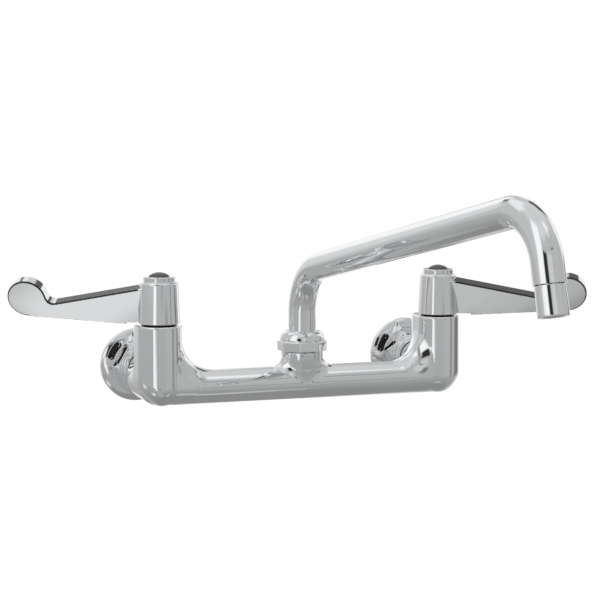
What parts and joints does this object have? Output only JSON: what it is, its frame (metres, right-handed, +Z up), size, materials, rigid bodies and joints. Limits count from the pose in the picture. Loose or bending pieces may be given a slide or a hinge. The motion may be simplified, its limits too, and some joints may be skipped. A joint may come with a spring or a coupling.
{
  "type": "wall-mounted faucet",
  "caption": "Wall-mounted kitchen faucet with a horizontal bar body, blade handles over side columns and a long bent tube spout that swings on a centre neck.",
  "frame": {"origin": "on the wall plane, midway between the two inlets and at the height of their axes", "axes": "+X along the bar to the right as seen from the front, +Y into the wall, +Z up"},
  "size_m": [0.3911, 0.3746, 0.1572],
  "materials": {
    "chrome": "polished plating",
    "brass": "machined",
    "stainless": "plain",
    "rubber": "moulded",
    "ceramic": "lapped",
    "polymer": "moulded",
    "graphite": "satin"
  },
  "bodies": {
    "body": {"cast_body": "chrome", "spout_nut": "chrome", "left_wall_flange": "chrome", "left_inlet_washer": "rubber", "left_coupling_nut": "chrome", "left_seat_seal": "rubber", "left_cartridge_body": "brass", "left_fixed_disc": "ceramic", "left_bonnet_nut": "brass", "right_wall_flange": "chrome", "right_inlet_washer": "rubber", "right_coupling_nut": "chrome", "right_seat_seal": "rubber", "right_cartridge_body": "brass", "right_fixed_disc": "ceramic", "right_bonnet_nut": "brass"},
    "left_handle_set": {"left_handle": "chrome", "left_handle_screw": "stainless", "left_index_button": "graphite", "left_valve_stem": "brass", "left_stem_ring": "rubber", "left_moving_disc": "ceramic"},
    "right_handle_set": {"right_handle": "chrome", "right_handle_screw": "stainless", "right_index_button": "graphite", "right_valve_stem": "brass", "right_stem_ring": "rubber", "right_moving_disc": "ceramic"},
    "spout": {"spout_tube": "chrome", "spout_sleeve": "brass", "lower_spout_ring": "rubber", "upper_spout_ring": "rubber", "spout_thrust_ring": "polymer", "outlet_shell": "chrome", "outlet_screen": "stainless", "flow_straightener": "polymer", "outlet_washer": "rubber"}
  },
  "joints": [
    {"name": "left_handle_turn", "type": "hinge", "parent": "body", "child": "left_handle_set", "pos_m": [-0.1016, -0.0635, 0], "axis": [0, 0, 1], "range_deg": [0, 90]},
    {"name": "right_handle_turn", "type": "hinge", "parent": "body", "child": "right_handle_set", "pos_m": [0.1016, -0.0635, 0], "axis": [0, 0, 1], "range_deg": [-90, 0]},
    {"name": "spout_swing", "type": "hinge", "parent": "body", "child": "spout", "pos_m": [0, -0.0635, 0], "axis": [0, 0, 1], "range_deg": [-97, 83]}
  ]
}
